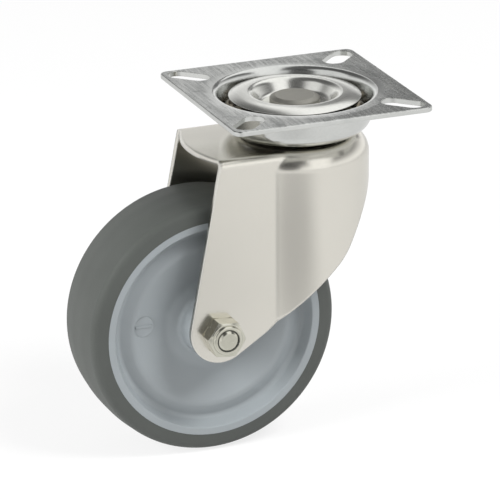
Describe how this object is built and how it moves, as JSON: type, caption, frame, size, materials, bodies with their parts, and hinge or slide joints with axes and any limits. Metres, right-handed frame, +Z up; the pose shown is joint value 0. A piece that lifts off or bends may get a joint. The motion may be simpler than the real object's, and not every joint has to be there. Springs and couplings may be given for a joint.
{
  "type": "swivel castor",
  "caption": "Swivel castor with a square slotted top plate, a double ball swivel under a pressed bowl, a one-piece pressed fork and a soft-tyred wheel on a bolted axle.",
  "frame": {"origin": "where the swivel axis meets the top face of the plate, which is the face that bolts to the furniture or trolley", "axes": "+Z up along the swivel axis, out of the mounting face; +X forward; the wheel trails towards -X; the axle lies along Y with its nut at -Y"},
  "size_m": [0.097, 0.06, 0.1016],
  "materials": {
    "plate_steel": "rolled stainless sheet, scuffed, dull on the flat and bright where it was pressed",
    "fork_steel": "pressed stainless sheet, satin, warm",
    "cap_steel": "pressed stainless sheet, bright",
    "pin_steel": "riveted head, dull and pitted",
    "fastener_steel": "bright machined steel",
    "ball_steel": "polished, greased",
    "locking_nylon": "dark nylon",
    "wheel_plastic": "moulded grey plastic, satin",
    "tyre_rubber": "grey thermoplastic rubber, matt"
  },
  "bodies": {
    "plate": {"top_plate": "plate_steel"},
    "fork": {"fork": "fork_steel", "bearing_cap": "cap_steel", "king_pin": "pin_steel", "axle_bolt": "fastener_steel", "axle_nut": "fastener_steel", "nut_locking_ring": "locking_nylon", "axle_sleeve": "fastener_steel"},
    "wheel": {"wheel_centre": "wheel_plastic", "tyre": "tyre_rubber"},
    "upper_balls": {"upper_ball_01": "ball_steel", "upper_ball_02": "ball_steel", "upper_ball_03": "ball_steel", "upper_ball_04": "ball_steel", "upper_ball_05": "ball_steel", "upper_ball_06": "ball_steel", "upper_ball_07": "ball_steel", "upper_ball_08": "ball_steel", "upper_ball_09": "ball_steel", "upper_ball_10": "ball_steel", "upper_ball_11": "ball_steel", "upper_ball_12": "ball_steel", "upper_ball_13": "ball_steel", "upper_ball_14": "ball_steel"},
    "lower_balls": {"lower_ball_01": "ball_steel", "lower_ball_02": "ball_steel", "lower_ball_03": "ball_steel", "lower_ball_04": "ball_steel", "lower_ball_05": "ball_steel", "lower_ball_06": "ball_steel", "lower_ball_07": "ball_steel", "lower_ball_08": "ball_steel", "lower_ball_09": "ball_steel", "lower_ball_10": "ball_steel", "lower_ball_11": "ball_steel", "lower_ball_12": "ball_steel", "lower_ball_13": "ball_steel", "lower_ball_14": "ball_steel"}
  },
  "joints": [
    {"name": "swivel", "type": "hinge", "parent": "plate", "child": "fork", "pos_m": [0, 0, 0], "axis": [0, 0, 1], "continuous": true},
    {"name": "wheel_spin", "type": "hinge", "parent": "fork", "child": "wheel", "pos_m": [-0.0295, 0, -0.0641], "axis": [0, 1, 0], "continuous": true},
    {"name": "upper_ball_orbit", "type": "hinge", "parent": "plate", "child": "upper_balls", "pos_m": [0, 0, 0], "axis": [0, 0, 1], "continuous": true},
    {"name": "lower_ball_orbit", "type": "hinge", "parent": "plate", "child": "lower_balls", "pos_m": [0, 0, 0], "axis": [0, 0, 1], "continuous": true}
  ],
  "couplings": [
    {"joint": "upper_ball_orbit", "follows": "swivel", "ratio": 0.5},
    {"joint": "lower_ball_orbit", "follows": "swivel", "ratio": 0.5}
  ]
}
